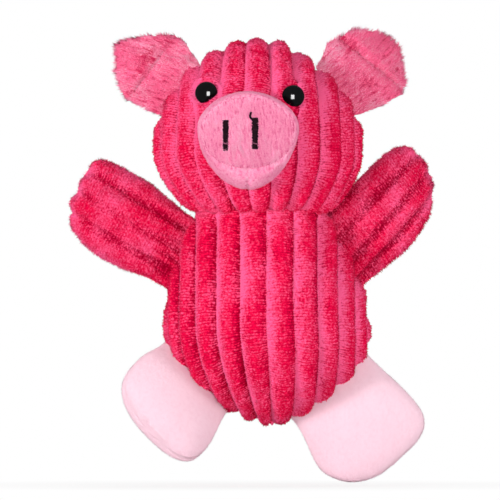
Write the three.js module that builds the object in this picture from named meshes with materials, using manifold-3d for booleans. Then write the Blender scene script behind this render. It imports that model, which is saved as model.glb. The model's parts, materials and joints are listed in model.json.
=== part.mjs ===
// A plush pig of wide-wale corduroy, with soft pink ears and snout, pale feet and black plastic eyes.
// Millimetres. +Z runs up through the head, the face looks towards -Y and +X is on the viewer's right.
// The origin is under the middle of the pig, at its lowest point.
import * as THREE from "three";
import { mergeVertices } from "three/addons/utils/BufferGeometryUtils.js";
import Module from "manifold-3d";

const wasm = await Module();
wasm.setup();

// Cloth and fit
const corduroyThickness = 3.2; // backing and pile at the crest of a wale
const waleDepth = 1.8; // how deep the groove between two wales is
const walesPerPanelShare = 11.5; // wales across one panel of the torso or head, a count
const walesPerArmPanelShare = 3.5; // wales across one panel of an arm, a count
const minkyThickness = 2.4; // the smooth cloth of the snout, ears and feet
const fitGap = 0.3; // between two pieces that touch
const runningGap = 0.8; // between two pieces that move past each other
const seamWidth = 0.3; // between the two panels of a cover
const weld = 0.0001; // points nearer than this are one point

// Torso: its outline in the XZ plane, from the neck down
const neckHeight = 108.4;
const neckHalfWidth = 27.2;
const neckHalfDepth = 25.2;
const neckX = 3.4;
const torsoHalfWidth = 41.4;
const torsoHalfDepth = 38.4;
const torsoWidestHeight = 60;
const torsoBottomHeight = 23.6;
const torsoBottomX = 7.8; // the torso leans to the viewer's right as it goes down
const torsoBottomShare = 1.65; // roundness of the lower outline: 2 is an ellipse
const backFlatDepth = 1; // how deep the back is pressed flat where the pig lies on it

// Head
const headHeight = 70; // from the neck to its top
const headWidestRise = 25.6; // from the neck to its widest place
const headHalfWidth = 42.4;
const headHalfDepth = 38;
const headX = 2.2;
const headTopShare = 1.95;
const headJawShare = 1.75; // how late the jaw draws in towards the neck
const spreadShare = 0.78; // how far the wales keep their spacing where the outline closes

// Snout: a drum of soft cloth that leans out of the face
const snoutShift = -4; // the middle of its root, from the middle of the head
const snoutRise = 3.8; // and above the head's widest place
const snoutHalfWidth = 20.4;
const snoutHalfHeight = 19.8;
const snoutFaceHalfWidth = 19;
const snoutFaceHalfHeight = 14.4;
const snoutFaceRise = 2.4; // the face sits this far above the middle of the snout's root
const snoutReach = 13; // from the head's cloth to the face
const snoutCrown = 2.2; // how far the middle of the face bulges
const snoutRoot = 12; // how far the drum is sunk behind the head's front before it is cut off
const nostrilWidth = 2.5;
const nostrilHeight = 12.6;
const nostrilSpacing = 11.6;
const nostrilX = -1; // the middle of the pair, from the middle of the snout
const nostrilRise = 3.2; // above the middle of the snout's root
const nostrilDepth = 1.6;
const nostrilProud = 0.7;

// Eyes: domes on a stem, held by a washer inside the head
const eyeRadius = 4.5;
const eyeDome = 3;
const eyeSunk = 1.2; // how deep the dome's back sits in the pile
const eyeTurnShare = 0.5; // how far the stem pulls the eye round to the front
const eyeStemRadius = 1.5;
const eyeStemLength = 7;
const eyeWasherRadius = 5;
const eyeWasherThickness = 1.2;
const eyeSeatDepth = 2.6; // from the crest of the pile in to the washer
const eyeGap = 0.2; // from the snout's edge to the eye's
const eyeTilt = { left: 41.4, right: 45.9 }; // degrees from straight above the snout

// Arms: mitts sewn into the side seams
const armLength = 48;
const armHalfWidth = 16.2;
const armRootHalfWidth = 14.4;
const armHalfDepth = 9.6;
const armRootHalfDepth = 6.4;
const armEndShare = 2.7; // squareness of the mitt's end
const armTipShift = 6; // the end of the mitt reaches up
const armSeamTop = 1.5; // from the neck down to the top of the arm's seam
const armSeamHeight = 28; // height of the seam
const armRaise = { left: 29.4, right: 41 }; // degrees above level
const armSwing = 25; // degrees either way about the seam

// Feet: flat mitts sewn into the lower seam
const footLength = 39.8;
const footHalfWidth = 22.4;
const footRootHalfWidth = 19.5;
const footHalfDepth = 9.5;
const footRootHalfDepth = 6.2;
const footEndShare = 3;
const footTipShift = 1.5; // the toes reach inwards
const footSeamTop = { left: 29.8, right: 27.3 }; // from the torso's bottom up to the seam's upper end
const footSeamHeight = { left: 24, right: 25 };
const footDrop = { left: 45, right: 48.5 }; // degrees below level
const footKick = { left: 38, right: 8 }; // degrees forward about the seam
const footSwing = 20; // degrees either way about the seam
const soleFlatDepth = 0.5;

// Ears: unstuffed leaves, creased across the middle so that the tip leans forward
const earLength = 32;
const earHalfWidth = 17.6;
const earRootHalfWidth = 13.6;
const earHalfDepth = 2.8;
const earTipHalfDepth = 3.6;
const earEndShare = 1.25; // 1 is a pointed tip
const earTipLean = 16; // degrees forward, beyond the crease
const earSeamTop = { left: 9.2, right: 10.8 }; // from the head's top down to the seam's upper end
const earSeamHeight = { left: 22, right: 19.3 };
const earSwing = 20; // degrees either way about the seam

const rootSink = 7; // how far each limb and ear runs into its neighbour before it is cut to fit

// Neck: the torso's dome in the head's socket
const neckNod = 12; // degrees either way

// How finely the forms are divided
const corduroy = { perWale: 4, rows: 10 };
const plain = { lines: 7, rows: 6 };
const hidden = { lines: 6, rows: 5 };
const ballSides = 24;
const ballRings = 12;
const roundSides = 16;
const drumSides = 28;
const sweepSteps = 2;

const colours = {
  corduroy: 0xe0336b,
  ear: 0xf57ea6,
  snout: 0xff9fbe,
  foot: 0xfbdde8,
  stuffing: 0xf3f1ec,
  black: 0x0b0b0c,
  washer: 0xe8e8e6,
};

const degrees = Math.PI / 180;
const quarter = Math.PI / 2;
const xAxis = new THREE.Vector3(1, 0, 0);
const mix = THREE.MathUtils.lerp;
const flip = { left: -1, right: 1 };

// Solids

// The solid inside a closed three.js geometry.
function solid(geometry) {
  const bare = geometry.clone();
  bare.deleteAttribute("normal");
  bare.deleteAttribute("uv");
  const merged = mergeVertices(bare, weld);
  const corners = [];
  for (let i = 0; i < merged.index.count; i += 3) {
    const [a, b, c] = [0, 1, 2].map((k) => merged.index.getX(i + k));
    if (a !== b && b !== c && c !== a) corners.push(a, b, c);
  }
  return new wasm.Manifold(
    new wasm.Mesh({
      numProp: 3,
      vertProperties: merged.attributes.position.array,
      triVerts: new Uint32Array(corners),
    }),
  );
}

// The geometry of a solid.
function geometryOf(body) {
  const mesh = body.getMesh();
  const geometry = new THREE.BufferGeometry();
  geometry.setAttribute("position", new THREE.BufferAttribute(mesh.vertProperties, mesh.numProp));
  geometry.setIndex(new THREE.BufferAttribute(mesh.triVerts, 1));
  return geometry;
}

const moved = (body, matrix) => body.transform(matrix.elements);
const joined = (bodies) => bodies.reduce((whole, body) => whole.add(body));
const cut = (body, ...tools) => tools.reduce((left, tool) => left.subtract(tool), body);

// The larger of the bodies that a cut leaves, because a crumb beside it is no piece of its own.
function largest(body) {
  return body.decompose().reduce((most, each) => (each.volume() > most.volume() ? each : most));
}

function ellipsoid(x, y, z) {
  return solid(new THREE.SphereGeometry(1, ballSides, ballRings).rotateX(quarter).scale(x, y, z));
}

// A disc or rod along +Z from one height to another.
function rod(radius, from, to) {
  const shape = new THREE.CylinderGeometry(radius, radius, to - from, roundSides);
  return solid(shape.rotateX(quarter).translate(0, 0, (from + to) / 2));
}

// A turning by an angle in degrees about a line through a point.
function turning(point, axis, angle) {
  return new THREE.Matrix4()
    .makeTranslation(point)
    .multiply(new THREE.Matrix4().makeRotationAxis(axis, angle * degrees))
    .multiply(new THREE.Matrix4().makeTranslation(point.clone().negate()));
}

// Where a neighbour reaches, as seen from a piece that swings either way about a hinge.
function swept(neighbour, hinge, swing) {
  const places = [];
  for (let step = -sweepSteps; step <= sweepSteps; step += 1) {
    places.push(moved(neighbour, turning(hinge.point, hinge.axis, (swing * step) / sweepSteps)));
  }
  return joined(places);
}

// Stuffed forms

// How high a wale stands, from 0 in the groove to 1 at its crest. The phase counts wales.
function waleHeight(phase) {
  return Math.sqrt(Math.abs(Math.sin(Math.PI * phase)));
}

// The end of one line of the cloth, between a height where it lies on the form and one past the outline.
function lineEnd(form, share, on, past) {
  const halvings = 60;
  let [inside, outside] = [on, past];
  for (let step = 0; step < halvings; step += 1) {
    const middle = (inside + outside) / 2;
    if (Math.abs(share) * form.spread(middle) <= form.halfWidth(middle) + weld * weld) inside = middle;
    else outside = middle;
  }
  return outside === past ? past : inside;
}

// A point of the cloth, sunk below the crests along the normal. The side is -1 on the front panel, 1 on
// the back one and 0 on the seam between them.
function clothPoint(form, share, side, z, sunk) {
  const [a, b] = [form.halfWidth(z), form.halfDepth(z)];
  const x = share * form.spread(z);
  const across = a > weld ? Math.min(Math.abs(x / a), 1) : 1;
  const y = side * b * Math.sqrt(Math.max(0, 1 - across * across));
  const step = (form.to - form.from) * weld;
  const slopeOf = (size) => (size(z) - size(z - step)) / step;
  const normal = new THREE.Vector3(0, 0, Math.sign(form.to - form.from));
  if (a > weld && b > weld) {
    const rise = (x * x * slopeOf(form.halfWidth)) / a ** 3 + (y * y * slopeOf(form.halfDepth)) / b ** 3;
    normal.set(x / a ** 2, y / b ** 2, -rise).normalize();
  }
  const lean = form.lean ? form.lean(z) : 0;
  return new THREE.Vector3(form.centre(z) + x, y + lean, z).addScaledVector(normal, -sunk);
}

// A form of two panels, sewn together along an outline in the XZ plane. It is cut open at the height
// form.from and closes at form.to. The lines of the cloth run from one to the other.
function stuffed(form, { lines, rows, wales = 0, phase = 0, depth = 0 }) {
  const loop = 4 * lines;
  const points = [];
  for (let row = 0; row <= rows; row += 1) {
    for (let line = 0; line < loop; line += 1) {
      const front = line <= 2 * lines;
      const turn = ((front ? line : loop - line) / lines - 1) * quarter;
      const share = Math.abs(turn) > quarter - weld ? Math.sign(turn) : Math.sin(turn);
      const end = lineEnd(form, share, form.widest, form.to);
      const side = row === rows ? 0 : front ? -1 : 1;
      const z = form.from + (end - form.from) * Math.sin((quarter * row) / rows);
      const sunk = wales ? depth * (1 - waleHeight((wales * turn) / Math.PI + phase)) : 0;
      points.push(clothPoint(form, share, side, z, sunk));
    }
  }
  points.push(new THREE.Vector3(form.centre(form.from), 0, form.from));
  const faces = [];
  const facing = (a, b, c) => (form.to > form.from ? faces.push(a, b, c) : faces.push(a, c, b));
  for (let line = 0; line < loop; line += 1) {
    const next = (line + 1) % loop;
    facing(points.length - 1, next, line);
    for (let row = 0; row < rows; row += 1) {
      const [low, high] = [row * loop, (row + 1) * loop];
      facing(low + line, low + next, high + next);
      facing(low + line, high + next, high + line);
    }
  }
  const geometry = new THREE.BufferGeometry().setFromPoints(points);
  geometry.setIndex(faces);
  return solid(geometry);
}

const corduroyForm = (form, wales, phase) =>
  stuffed(form, {
    lines: (wales * corduroy.perWale) / 2,
    rows: corduroy.rows,
    wales,
    phase,
    depth: waleDepth,
  });
const crestForm = (form, wales) =>
  stuffed(form, { lines: (wales * corduroy.perWale) / 2, rows: corduroy.rows });
const plainForm = (form) => stuffed(form, plain);
const hiddenForm = (form) => stuffed(form, hidden);

// How far an outline reaches at a share of the way from its widest place, 0, to its end, 1.
const rounded = (along, share) => Math.max(0, 1 - Math.min(1, Math.max(0, along)) ** share) ** (1 / share);

// The outlines of the torso and head, drawn in by an inset.
function torsoForm(inset) {
  const bottom = torsoBottomHeight + inset;
  const size = (wide, narrow) => (z) => {
    if (z < torsoWidestHeight) {
      const down = (torsoWidestHeight - z) / (torsoWidestHeight - bottom);
      return (wide - inset) * rounded(down, torsoBottomShare);
    }
    const up = (z - torsoWidestHeight) / (neckHeight - torsoWidestHeight);
    return wide - inset - (wide - narrow) * up ** 2;
  };
  const halfWidth = size(torsoHalfWidth, neckHalfWidth);
  return {
    from: neckHeight - Math.min(0, inset),
    widest: torsoWidestHeight,
    to: bottom,
    halfWidth,
    halfDepth: size(torsoHalfDepth, neckHalfDepth),
    centre: torsoCentre,
    spread: (z) =>
      z > torsoWidestHeight
        ? halfWidth(z)
        : halfWidth(torsoWidestHeight) * spreadShare + halfWidth(z) * (1 - spreadShare),
  };
}

function torsoCentre(z) {
  return neckX + ((torsoBottomX - neckX) * (neckHeight - z)) / (neckHeight - torsoBottomHeight);
}

const headWidest = neckHeight + headWidestRise;
const headTop = neckHeight + headHeight;

function headForm(inset) {
  const top = headTop - inset;
  const size = (wide, narrow) => (z) => {
    if (z > headWidest) {
      return (wide - inset) * rounded((z - headWidest) / (top - headWidest), headTopShare);
    }
    const down = (headWidest - z) / headWidestRise;
    return wide - inset - (wide - narrow) * Math.min(1, down) ** headJawShare;
  };
  const halfWidth = size(headHalfWidth, neckHalfWidth);
  return {
    from: neckHeight + Math.min(0, inset),
    widest: headWidest,
    to: top,
    halfWidth,
    halfDepth: size(headHalfDepth, neckHalfDepth),
    centre: (z) => mix(headX, neckX, Math.max(0, (headWidest - z) / headWidestRise)),
    spread: (z) =>
      z < headWidest
        ? halfWidth(z)
        : halfWidth(headWidest) * spreadShare + halfWidth(z) * (1 - spreadShare),
  };
}

// A limb's outline in its own frame: its seam crosses the origin and the limb runs along +Z.
function limbForm(size, inset) {
  const tip = size.length - inset;
  const widest = size.length - size.halfWidth;
  const swell = (wide, narrow) => (z) => {
    if (z > widest) return (wide - inset) * rounded((z - widest) / (tip - widest), size.endShare);
    const along = Math.max(0, z) / widest;
    return narrow - inset + (wide - narrow) * Math.sin(quarter * along);
  };
  const halfWidth = swell(size.halfWidth, size.rootHalfWidth);
  return {
    from: -rootSink,
    widest,
    to: tip,
    lean: size.lean,
    halfWidth,
    halfDepth: swell(size.halfDepth, size.rootHalfDepth),
    centre: (z) => (size.tipShift * Math.max(0, z) ** 2) / size.length ** 2,
    spread: (z) =>
      z < widest ? halfWidth(z) : halfWidth(widest) * spreadShare + halfWidth(z) * (1 - spreadShare),
  };
}

// Pieces

const pig = new THREE.Group();
const upright = new THREE.Vector3(0, 0, 1);
const forward = new THREE.Vector3(0, -1, 0);

// One piece of the pig: a solid given in the pig's own place, hung in the group that it moves with.
function piece(group, name, body, colour, roughness = 1) {
  group.updateWorldMatrix(true, false);
  const own = moved(body, group.matrixWorld.clone().invert());
  const material = new THREE.MeshStandardMaterial({ color: colour, roughness, metalness: 0 });
  const mesh = new THREE.Mesh(geometryOf(own), material);
  mesh.geometry.computeVertexNormals();
  mesh.name = name;
  group.add(mesh);
  return mesh;
}

// A group that turns about a hinge, so many degrees either way. It keeps both for whoever moves it.
function jointed(parent, name, hinge, swing) {
  const group = new THREE.Group();
  group.name = name;
  parent.updateWorldMatrix(true, false);
  group.position.copy(parent.worldToLocal(hinge.point.clone()));
  group.userData = { axis: hinge.axis.toArray(), swing };
  parent.add(group);
  return group;
}

// The two panels of a cover, parted at the seam that lies in the plane through a point.
function panels(cover, point, facing) {
  const half = seamWidth / 2;
  const at = facing.dot(point);
  return {
    front: largest(cover.trimByPlane(facing.toArray(), at + half)),
    back: largest(cover.trimByPlane(facing.clone().negate().toArray(), half - at)),
  };
}

// Torso

const neck = new THREE.Vector3(neckX, 0, neckHeight);
const neckHinge = { point: neck, axis: xAxis };

function neckBall(inset) {
  const round = neckHalfDepth - waleDepth - inset;
  const ball = ellipsoid(neckHalfWidth - waleDepth - inset, round, round);
  return moved(ball, new THREE.Matrix4().makeTranslation(neck));
}

const torsoSolid = (inset) => hiddenForm(torsoForm(inset)).add(neckBall(inset));
const torsoRoom = plainForm(torsoForm(-runningGap));

function makeTorso() {
  const outside = corduroyForm(torsoForm(0), walesPerPanelShare, 0).add(neckBall(0));
  const shell = cut(outside, torsoSolid(corduroyThickness));
  const rested = shell.trimByPlane([0, -1, 0], backFlatDepth - torsoHalfDepth);
  const cover = panels(rested, neck, forward);
  piece(pig, "torso_cover_front", cover.front, colours.corduroy);
  piece(pig, "torso_cover_back", cover.back, colours.corduroy);
  piece(pig, "torso_stuffing", torsoSolid(corduroyThickness + fitGap), colours.stuffing);
}

// Head

const headRoom = plainForm(headForm(-runningGap));
const snoutX = headX + snoutShift;
const snoutHeight = headWidest + snoutRise;

// A place on the front of the head's cloth: the point and the way that the cloth faces there.
function onHead(x, z) {
  const form = headForm(0);
  const share = (x - form.centre(z)) / form.spread(z);
  const point = clothPoint(form, share, -1, z, 0);
  const facing = clothPoint(form, share, -1, z, -fitGap).sub(point).normalize();
  return { point, facing };
}

// The frame of an eye: +Z points out of the head, from the crest of the pile.
function eyeFrame(side) {
  const off = eyeGap + eyeRadius;
  const { point, facing } = onHead(
    snoutX + flip[side] * (snoutHalfWidth + off) * Math.sin(eyeTilt[side] * degrees),
    snoutHeight + (snoutHalfHeight + off) * Math.cos(eyeTilt[side] * degrees),
  );
  const looks = facing.lerp(forward, eyeTurnShare).normalize();
  const turn = new THREE.Quaternion().setFromUnitVectors(upright, looks);
  return new THREE.Matrix4().compose(point, turn, new THREE.Vector3(1, 1, 1));
}

function makeHead(head) {
  const neckRoom = swept(torsoRoom, neckHinge, neckNod).add(neckBall(-runningGap));
  let shell = cut(
    corduroyForm(headForm(0), walesPerPanelShare, 1 / 2),
    hiddenForm(headForm(corduroyThickness)),
    neckRoom,
  );
  let stuffing = cut(hiddenForm(headForm(corduroyThickness + fitGap)), neckRoom);
  const stemEnd = -eyeSunk - eyeStemLength - fitGap;
  for (const side of ["left", "right"]) {
    const frame = eyeFrame(side);
    const at = (body) => moved(body, frame);
    shell = cut(
      shell,
      at(rod(eyeRadius + fitGap, -eyeSunk - fitGap, eyeDome)),
      at(rod(eyeStemRadius + fitGap, stemEnd, 0)),
      at(rod(eyeWasherRadius + fitGap, stemEnd, -eyeSeatDepth)),
    );
    stuffing = cut(stuffing, at(rod(eyeWasherRadius + fitGap, stemEnd, 0)));
  }
  const cover = panels(shell, neck, forward);
  piece(head, "head_cover_front", cover.front, colours.corduroy);
  piece(head, "head_cover_back", cover.back, colours.corduroy);
  piece(head, "head_stuffing", largest(stuffing), colours.stuffing);
}

// Turns a profile of radius and height, from the axis and back to it, about +Z.
function turned(profile) {
  const points = profile.map(([radius, height]) => new THREE.Vector2(radius, height));
  return solid(new THREE.LatheGeometry(points, roundSides).rotateX(quarter));
}

function makeEye(head, side) {
  const frame = eyeFrame(side);
  const profile = [
    [0, -eyeSunk - eyeStemLength],
    [eyeStemRadius, -eyeSunk - eyeStemLength],
    [eyeStemRadius, -eyeSunk],
    [eyeRadius, -eyeSunk],
  ];
  const arcs = 4;
  for (let step = 0; step <= arcs; step += 1) {
    const turn = (quarter * step) / arcs;
    profile.push([eyeRadius * Math.cos(turn) * Math.sign(arcs - step), eyeDome * Math.sin(turn)]);
  }
  piece(head, `eye_${side}`, moved(turned(profile), frame), colours.black, 0.1);

  const top = -eyeSeatDepth - fitGap;
  const hole = eyeStemRadius + fitGap;
  const washer = [
    [hole, top - eyeWasherThickness],
    [eyeWasherRadius, top - eyeWasherThickness],
    [eyeWasherRadius, top],
    [hole, top],
    [hole, top - eyeWasherThickness],
  ];
  piece(head, `eye_washer_${side}`, moved(turned(washer), frame), colours.washer, 0.5);
}

// Snout

const snoutFront = -headHalfDepth - snoutReach;
const snoutBack = -headHalfDepth + snoutRoot;

// The drum of the snout: a band that narrows to the face, and a crowned face, drawn in by an inset.
function snoutForm(inset) {
  const bandRows = 4;
  const crownRows = 3;
  const profile = [new THREE.Vector2(0, 0)];
  for (let row = 0; row <= bandRows; row += 1) profile.push(new THREE.Vector2(1, row / bandRows));
  for (let row = crownRows - 1; row >= 0; row -= 1) profile.push(new THREE.Vector2(row / crownRows, 1));
  const drum = new THREE.LatheGeometry(profile, drumSides).rotateX(quarter);
  const places = drum.attributes.position;
  for (let i = 0; i < places.count; i += 1) {
    const [across, up, along] = [places.getX(i), places.getY(i), places.getZ(i)];
    const narrowed = along ** 3;
    const halfWidth = mix(snoutHalfWidth, snoutFaceHalfWidth, narrowed) - inset;
    const halfHeight = mix(snoutHalfHeight, snoutFaceHalfHeight, narrowed) - inset;
    const crown = along * snoutCrown * (1 - Math.min(1, across ** 2 + up ** 2));
    places.setXYZ(
      i,
      snoutX + across * halfWidth,
      mix(snoutBack, snoutFront + inset, along) - crown,
      snoutHeight + snoutFaceRise * narrowed + up * halfHeight,
    );
  }
  return solid(drum);
}

// A satin-stitched bar on the face of the snout, grown by a clearance.
function nostril(side, grown) {
  const across = nostrilX + (flip[side] * nostrilSpacing) / 2;
  const up = nostrilRise - snoutFaceRise;
  const off = (across / snoutFaceHalfWidth) ** 2 + (up / snoutFaceHalfHeight) ** 2;
  const surface = snoutFront - snoutCrown * (1 - off);
  const halfWidth = nostrilWidth / 2 + grown;
  const straight = nostrilHeight / 2 + grown - halfWidth;
  const outline = new THREE.Shape()
    .absarc(0, straight, halfWidth, 0, Math.PI)
    .absarc(0, -straight, halfWidth, Math.PI, 2 * Math.PI);
  const deep = { depth: nostrilDepth + 2 * grown, bevelEnabled: false, curveSegments: roundSides / 4 };
  const bar = new THREE.ExtrudeGeometry(outline, deep).rotateX(quarter);
  bar.translate(snoutX + across, surface - nostrilProud + nostrilDepth + grown, snoutHeight + nostrilRise);
  return solid(bar);
}

function makeSnout(head) {
  const headCloth = crestForm(headForm(-fitGap), walesPerPanelShare);
  const shell = cut(snoutForm(0), snoutForm(minkyThickness), headCloth);
  const seam = snoutFront + minkyThickness;
  const face = shell.trimByPlane(forward.toArray(), -seam + seamWidth / 2);
  const band = shell.trimByPlane([0, 1, 0], seam + seamWidth / 2);
  const pockets = ["left", "right"].map((side) => nostril(side, fitGap));
  piece(head, "snout_face", largest(cut(face, ...pockets)), colours.snout);
  piece(head, "snout_band", largest(band), colours.snout);
  const stuffing = cut(snoutForm(minkyThickness + fitGap), headCloth);
  piece(head, "snout_stuffing", largest(stuffing), colours.stuffing);
  for (const side of ["left", "right"]) {
    piece(head, `nostril_${side}`, nostril(side, 0), colours.black, 0.6);
  }
}

// Limbs and ears

// The seam of a limb on the side of a form: the line through two points of its outline.
function seamHinge(form, side, top, height) {
  const at = (z) => new THREE.Vector3(form.centre(z) + flip[side] * form.halfWidth(z), 0, z);
  const [upper, lower] = [at(top), at(top - height)];
  return {
    point: upper.clone().lerp(lower, 1 / 2),
    axis: upper.clone().sub(lower).normalize(),
  };
}

// Stands a limb's own frame on its seam, pointing out at an angle above level and kicked forward.
function limbPlace(hinge, side, rise, kick) {
  const along = new THREE.Vector3(flip[side] * Math.cos(rise * degrees), 0, Math.sin(rise * degrees));
  const across = new THREE.Vector3(along.z, 0, -along.x);
  const stand = new THREE.Matrix4().makeBasis(across, new THREE.Vector3(0, 1, 0), along);
  return turning(hinge.point, hinge.axis, -flip[side] * kick)
    .multiply(new THREE.Matrix4().makeTranslation(hinge.point))
    .multiply(stand);
}

// A stuffed limb: a cover of two panels with stuffing in it, cut to swing clear of its neighbours.
function makeLimb(name, { size, wales, cloth, colour, hinge, place, swing, rooms, flatten }) {
  const group = jointed(pig, name, hinge, swing);
  const taken = rooms.map((room) => swept(room, hinge, swing));
  const outside = wales ? corduroyForm(limbForm(size, 0), wales, 0) : plainForm(limbForm(size, 0));
  const inside = (inset) => moved(hiddenForm(limbForm(size, inset)), place);
  const shell = flatten(cut(moved(outside, place), inside(cloth), ...taken));
  const facing = forward.clone().transformDirection(place);
  const cover = panels(shell, hinge.point, facing);
  piece(group, `${name}_cover_front`, cover.front, colour);
  piece(group, `${name}_cover_back`, cover.back, colour);
  piece(group, `${name}_stuffing`, largest(cut(inside(cloth + fitGap), ...taken)), colours.stuffing);
}

const asItIs = (body) => body;

function makeArm(side) {
  const hinge = seamHinge(torsoForm(0), side, neckHeight - armSeamTop, armSeamHeight);
  makeLimb(`arm_${side}`, {
    size: {
      length: armLength,
      halfWidth: armHalfWidth,
      rootHalfWidth: armRootHalfWidth,
      halfDepth: armHalfDepth,
      rootHalfDepth: armRootHalfDepth,
      endShare: armEndShare,
      tipShift: -flip[side] * armTipShift,
    },
    wales: walesPerArmPanelShare,
    cloth: corduroyThickness,
    colour: colours.corduroy,
    hinge,
    place: limbPlace(hinge, side, armRaise[side], 0),
    swing: armSwing,
    rooms: [torsoRoom, headRoom],
    flatten: asItIs,
  });
}

// Presses the lowest part of a body flat, where the pig stands on it.
function soleFlat(body) {
  const lowest = body.boundingBox().min[2];
  return body.trimByPlane(upright.toArray(), lowest + soleFlatDepth);
}

function makeFoot(side) {
  const top = torsoBottomHeight + footSeamTop[side];
  const hinge = seamHinge(torsoForm(0), side, top, footSeamHeight[side]);
  makeLimb(`foot_${side}`, {
    size: {
      length: footLength,
      halfWidth: footHalfWidth,
      rootHalfWidth: footRootHalfWidth,
      halfDepth: footHalfDepth,
      rootHalfDepth: footRootHalfDepth,
      endShare: footEndShare,
      tipShift: flip[side] * footTipShift,
    },
    wales: 0,
    cloth: minkyThickness,
    colour: colours.foot,
    hinge,
    place: limbPlace(hinge, side, -footDrop[side], footKick[side]),
    swing: footSwing,
    rooms: [torsoRoom],
    flatten: side === "right" ? soleFlat : asItIs,
  });
}

function makeEar(head, side) {
  const top = headTop - earSeamTop[side];
  const hinge = seamHinge(headForm(0), side, top, earSeamHeight[side]);
  const crease = earLength - earHalfWidth;
  const form = limbForm(
    {
      length: earLength,
      halfWidth: earHalfWidth,
      rootHalfWidth: earRootHalfWidth,
      halfDepth: earTipHalfDepth,
      rootHalfDepth: earHalfDepth,
      endShare: earEndShare,
      tipShift: 0,
      lean: (z) => -Math.max(0, z - crease) * Math.tan(earTipLean * degrees),
    },
    0,
  );
  const out = Math.atan2(flip[side] * hinge.axis.x, hinge.axis.z) / degrees;
  const place = limbPlace(hinge, side, -out, 0);
  const leaf = cut(moved(plainForm(form), place), swept(headRoom, hinge, earSwing));
  piece(jointed(head, `ear_${side}`, hinge, earSwing), `ear_${side}`, largest(leaf), colours.ear);
}

const head = jointed(pig, "head", neckHinge, neckNod);
makeTorso();
makeHead(head);
makeSnout(head);
for (const side of ["left", "right"]) {
  makeEye(head, side);
  makeEar(head, side);
  makeArm(side);
  makeFoot(side);
}

// The pig's origin: under its middle, at its lowest point
const whole = new THREE.Box3().setFromObject(pig);
const middle = whole.getCenter(new THREE.Vector3());
pig.position.set(-middle.x, -middle.y, -whole.min.z);

export default pig;
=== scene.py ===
"""A plush pig of wide-wale corduroy, dressed over its CAD frame.

Cloth is worked out in millimetres in the pig's own place, where the neck is a known point, and is
turned into metres in the frame when a mesh is made. "Left" is the left of the photograph.
"""
import json
import math
from dataclasses import dataclass

import bpy
import numpy as np
from mathutils import Matrix, Vector

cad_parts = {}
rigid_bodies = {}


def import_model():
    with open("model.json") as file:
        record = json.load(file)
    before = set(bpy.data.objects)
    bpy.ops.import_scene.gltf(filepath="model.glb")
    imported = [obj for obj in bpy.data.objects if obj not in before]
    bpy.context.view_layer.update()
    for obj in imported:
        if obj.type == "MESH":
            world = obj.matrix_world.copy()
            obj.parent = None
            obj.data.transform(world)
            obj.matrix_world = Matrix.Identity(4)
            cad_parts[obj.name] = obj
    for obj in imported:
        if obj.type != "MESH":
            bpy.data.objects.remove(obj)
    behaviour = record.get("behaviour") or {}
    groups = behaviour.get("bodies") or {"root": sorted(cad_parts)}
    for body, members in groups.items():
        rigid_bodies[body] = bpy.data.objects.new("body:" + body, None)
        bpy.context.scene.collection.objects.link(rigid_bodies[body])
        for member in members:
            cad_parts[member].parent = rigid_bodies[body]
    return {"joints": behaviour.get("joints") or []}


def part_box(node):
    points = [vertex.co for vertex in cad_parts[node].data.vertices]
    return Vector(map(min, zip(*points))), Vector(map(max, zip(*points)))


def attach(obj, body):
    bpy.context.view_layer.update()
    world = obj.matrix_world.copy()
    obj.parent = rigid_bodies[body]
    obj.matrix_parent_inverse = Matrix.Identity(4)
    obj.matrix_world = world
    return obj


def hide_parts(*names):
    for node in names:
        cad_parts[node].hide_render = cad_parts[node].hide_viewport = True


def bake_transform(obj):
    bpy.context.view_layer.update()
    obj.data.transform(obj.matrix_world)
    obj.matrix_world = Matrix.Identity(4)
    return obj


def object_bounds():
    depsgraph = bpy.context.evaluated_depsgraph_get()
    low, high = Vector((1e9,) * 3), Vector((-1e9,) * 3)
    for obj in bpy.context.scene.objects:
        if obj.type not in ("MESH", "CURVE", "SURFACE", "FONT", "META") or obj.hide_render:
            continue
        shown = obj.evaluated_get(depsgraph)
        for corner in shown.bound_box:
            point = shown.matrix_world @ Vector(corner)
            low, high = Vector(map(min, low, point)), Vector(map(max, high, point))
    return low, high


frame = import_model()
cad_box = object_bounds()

MM = 0.001
SIDES = ("left", "right")
FLIP = {"left": -1, "right": 1}
JOINTS = {joint["name"]: joint for joint in frame["joints"]}
SEED = 7

# The neck. Every pair of half sizes is a half width and a half depth, in millimetres
NECK_X, NECK_HEIGHT = 3.4, 108.4
NECK_HALF = (27.2, 25.2)

# Torso, whose wales keep a share of their spread toward its bottom, on the left and on the right
TORSO_HALF = (41.4, 38.4)
TORSO_WIDEST = 60.0
TORSO_BOTTOM = 23.6
TORSO_BOTTOM_X = 7.8
TORSO_ROUNDNESS = 1.65
TORSO_WALES_X = 5.7
TORSO_WALES_KEPT = (0.45, 0.72)
TUCK, TUCK_NARROWS = 4.0, 0.16

# Head, whose cloth rolls in to the neck
HEAD_TOP = 178.4
HEAD_WIDEST = 133.0
HEAD_HALF = (42.4, 38.0)
HEAD_X = 2.2
HEAD_ROUNDNESS = 1.88
JAW_ROUNDNESS = 1.95
HEAD_SPREAD = 0.78
ROLL, ROLL_NARROWS = 2.5, 0.1

# Corduroy
WALES_ON_PANEL = 11.5
WALE_DEPTH = 2.5
ARM_WALE_DEPTH = 1.8
WALE_SQUARENESS = 0.8
TUFT_PITCH = 1.15
TUFTS_ACROSS = 6
TUFT_HEIGHT = 0.52


def counted(many):
    return many


# Noise

HASH = (374761393, 668265263, 362437, 1274126177)
LOW_BITS = 0xFFFFFFFF


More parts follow.
